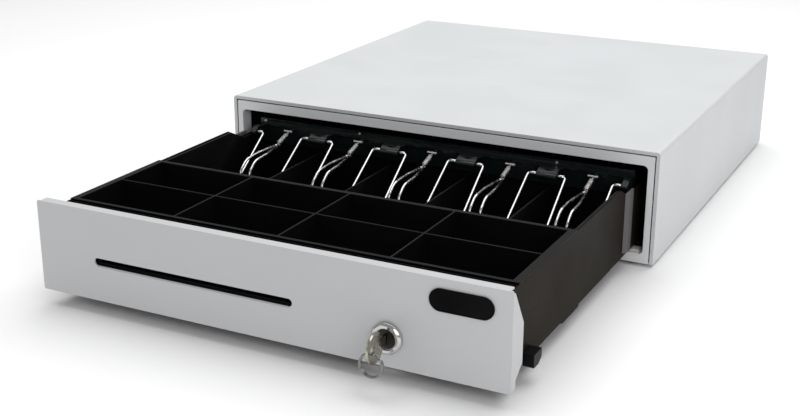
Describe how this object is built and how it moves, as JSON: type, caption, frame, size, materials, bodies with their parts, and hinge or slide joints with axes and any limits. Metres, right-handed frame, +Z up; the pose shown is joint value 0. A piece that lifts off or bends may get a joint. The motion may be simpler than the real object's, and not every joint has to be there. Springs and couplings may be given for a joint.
{
  "type": "cash drawer",
  "caption": "Steel cash drawer with a sliding till on rollers, sprung note clips, a lift-out coin tray, a cam lock with key and an electric latch.",
  "frame": {"origin": "on the table, under the middle of the whole object's bounding box with the drawer open and the key in the lock", "axes": "+X to the right seen from the front, +Y from the front panel towards the back of the housing, +Z up"},
  "size_m": [0.41, 0.729, 0.1],
  "materials": {
    "cover_paint": "white powder coat, fine texture",
    "frame_paint": "pale grey powder coat",
    "panel_paint": "pale grey powder coat, satin",
    "zinc_sheet": "zinc plated sheet",
    "foot_rubber": "matte",
    "screw_zinc": "bright zinc plating",
    "white_nylon": "natural nylon",
    "polished_pin": "turned steel",
    "spring_wire": "drawn spring wire",
    "clip_wire": "bright plated wire",
    "coil_wrap": "enamelled winding",
    "black_nylon": "matte",
    "button_plastic": "satin",
    "circuit_board": "solder mask",
    "socket_plastic": "satin",
    "inner_paint": "black paint, satin",
    "stiffener_paint": "dark grey satin paint",
    "pan_paint": "black semi-gloss paint",
    "badge_gloss": "gloss, blank",
    "tray_plastic": "fine moulded texture",
    "rail_plastic": "matte",
    "lock_chrome": "plated",
    "key_nickel": "nickel plated brass"
  },
  "bodies": {
    "housing": {"top_cover": "cover_paint", "chassis": "inner_paint", "front_frame": "frame_paint", "rear_panel": "cover_paint", "rubber_feet": "foot_rubber", "cover_screws": "screw_zinc", "chassis_screws": "screw_zinc", "left_channel": "inner_paint", "right_channel": "inner_paint", "slide_stops": "foot_rubber", "glide_pads": "white_nylon", "front_axles": "polished_pin", "latch_bracket": "zinc_sheet", "latch_pin": "polished_pin", "latch_spring": "spring_wire", "solenoid_frame": "zinc_sheet", "solenoid_coil": "coil_wrap", "ejector_guide": "zinc_sheet", "ejector_spring": "spring_wire", "status_switch": "black_nylon", "socket_board": "circuit_board", "cable_socket": "socket_plastic"},
    "drawer": {"drawer_pan": "pan_paint", "front_panel": "panel_paint", "drawer_screws": "screw_zinc", "badge": "badge_gloss", "slot_liner": "black_nylon", "strike": "zinc_sheet", "guide_blocks": "black_nylon", "wall_stiffeners": "stiffener_paint", "rear_axles": "polished_pin", "till_tray": "tray_plastic", "clip_rail": "rail_plastic", "spring_anchors": "polished_pin", "clip_spring_1": "spring_wire", "clip_spring_2": "spring_wire", "clip_spring_3": "spring_wire", "clip_spring_4": "spring_wire", "clip_spring_5": "spring_wire", "lock_body": "lock_chrome", "lock_nut": "zinc_sheet"},
    "coin_insert": {"coin_tray": "tray_plastic"},
    "clip_1": {"note_clip_1": "clip_wire"},
    "clip_2": {"note_clip_2": "clip_wire"},
    "clip_3": {"note_clip_3": "clip_wire"},
    "clip_4": {"note_clip_4": "clip_wire"},
    "clip_5": {"note_clip_5": "clip_wire"},
    "front_roller_left_body": {"front_roller_left": "white_nylon"},
    "front_roller_right_body": {"front_roller_right": "white_nylon"},
    "rear_roller_left_body": {"rear_roller_left": "white_nylon"},
    "rear_roller_right_body": {"rear_roller_right": "white_nylon"},
    "lock_core": {"lock_plug": "lock_chrome", "lock_cam": "zinc_sheet", "cam_screw": "screw_zinc"},
    "key_body": {"key": "key_nickel"},
    "ring": {"key_ring": "clip_wire"},
    "latch": {"latch_lever": "polished_pin"},
    "plunger": {"solenoid_plunger": "polished_pin"},
    "ejector": {"ejector_pusher": "black_nylon"},
    "button": {"switch_button": "button_plastic"}
  },
  "joints": [
    {"name": "drawer_slide", "type": "slide", "parent": "housing", "child": "drawer", "axis": [0, -1, 0], "range_m": [-0.284, 0]},
    {"name": "coin_tray_lift", "type": "slide", "parent": "drawer", "child": "coin_insert", "axis": [0, 0, 1], "range_m": [0, 0.1]},
    {"name": "clip_1_lift", "type": "hinge", "parent": "drawer", "child": "clip_1", "pos_m": [-0.1484, -0.057, 0.069], "axis": [-1, 0, 0], "range_deg": [0, 50], "stiffness_Nm_per_rad": 0.1, "springref_deg": -8.59, "deforming": ["clip_spring_1"]},
    {"name": "clip_2_lift", "type": "hinge", "parent": "drawer", "child": "clip_2", "pos_m": [-0.0742, -0.057, 0.069], "axis": [-1, 0, 0], "range_deg": [0, 50], "stiffness_Nm_per_rad": 0.1, "springref_deg": -8.59, "deforming": ["clip_spring_2"]},
    {"name": "clip_3_lift", "type": "hinge", "parent": "drawer", "child": "clip_3", "pos_m": [0, -0.057, 0.069], "axis": [-1, 0, 0], "range_deg": [0, 50], "stiffness_Nm_per_rad": 0.1, "springref_deg": -8.59, "deforming": ["clip_spring_3"]},
    {"name": "clip_4_lift", "type": "hinge", "parent": "drawer", "child": "clip_4", "pos_m": [0.0742, -0.057, 0.069], "axis": [-1, 0, 0], "range_deg": [0, 50], "stiffness_Nm_per_rad": 0.1, "springref_deg": -8.59, "deforming": ["clip_spring_4"]},
    {"name": "clip_5_lift", "type": "hinge", "parent": "drawer", "child": "clip_5", "pos_m": [0.1484, -0.057, 0.069], "axis": [-1, 0, 0], "range_deg": [0, 50], "stiffness_Nm_per_rad": 0.1, "springref_deg": -8.59, "deforming": ["clip_spring_5"]},
    {"name": "front_roller_left_spin", "type": "hinge", "parent": "housing", "child": "front_roller_left_body", "pos_m": [-0.178, -0.0245, 0.0106], "axis": [1, 0, 0], "range_deg": [-3391, 0]},
    {"name": "front_roller_right_spin", "type": "hinge", "parent": "housing", "child": "front_roller_right_body", "pos_m": [0.178, -0.0245, 0.0106], "axis": [1, 0, 0], "range_deg": [-3391, 0]},
    {"name": "rear_roller_left_spin", "type": "hinge", "parent": "drawer", "child": "rear_roller_left_body", "pos_m": [-0.1983, 0.0005, 0.037], "axis": [1, 0, 0], "range_deg": [-2142, 0]},
    {"name": "rear_roller_right_spin", "type": "hinge", "parent": "drawer", "child": "rear_roller_right_body", "pos_m": [0.1983, 0.0005, 0.037], "axis": [1, 0, 0], "range_deg": [-2142, 0]},
    {"name": "lock_turn", "type": "hinge", "parent": "drawer", "child": "lock_core", "pos_m": [0.1045, -0.3345, 0.034], "axis": [0, 1, 0], "range_deg": [-90, 0]},
    {"name": "key_pull", "type": "slide", "parent": "lock_core", "child": "key_body", "axis": [0, -1, 0], "range_m": [0, 0.025]},
    {"name": "ring_swing", "type": "hinge", "parent": "key_body", "child": "ring", "pos_m": [0.1045, -0.3583, 0.0321], "axis": [1, 0, 0], "range_deg": [-45, 45]},
    {"name": "latch_turn", "type": "hinge", "parent": "housing", "child": "latch", "pos_m": [0.006, 0.3435, 0.037], "axis": [0, 0, 1], "range_deg": [0, 12], "stiffness_Nm_per_rad": 0.08, "springref_deg": -11.46, "deforming": ["latch_spring"]},
    {"name": "plunger_slide", "type": "slide", "parent": "housing", "child": "plunger", "axis": [1, 0, 0], "range_m": [0, 0.0047]},
    {"name": "ejector_slide", "type": "slide", "parent": "housing", "child": "ejector", "axis": [0, -1, 0], "range_m": [0, 0.03], "stiffness_N_per_m": 150, "springref_m": 0.04, "deforming": ["ejector_spring"]},
    {"name": "switch_press", "type": "slide", "parent": "housing", "child": "button", "axis": [0, -1, 0], "range_m": [0, 0.0012], "stiffness_N_per_m": 200, "springref_m": 0.002}
  ],
  "couplings": [
    {"joint": "front_roller_left_spin", "follows": "drawer_slide", "rad_per_m": 208.33},
    {"joint": "front_roller_right_spin", "follows": "drawer_slide", "rad_per_m": 208.33},
    {"joint": "rear_roller_left_spin", "follows": "drawer_slide", "rad_per_m": 131.58},
    {"joint": "rear_roller_right_spin", "follows": "drawer_slide", "rad_per_m": 131.58},
    {"joint": "plunger_slide", "follows": "latch_turn", "m_per_rad": 0.0218}
  ]
}
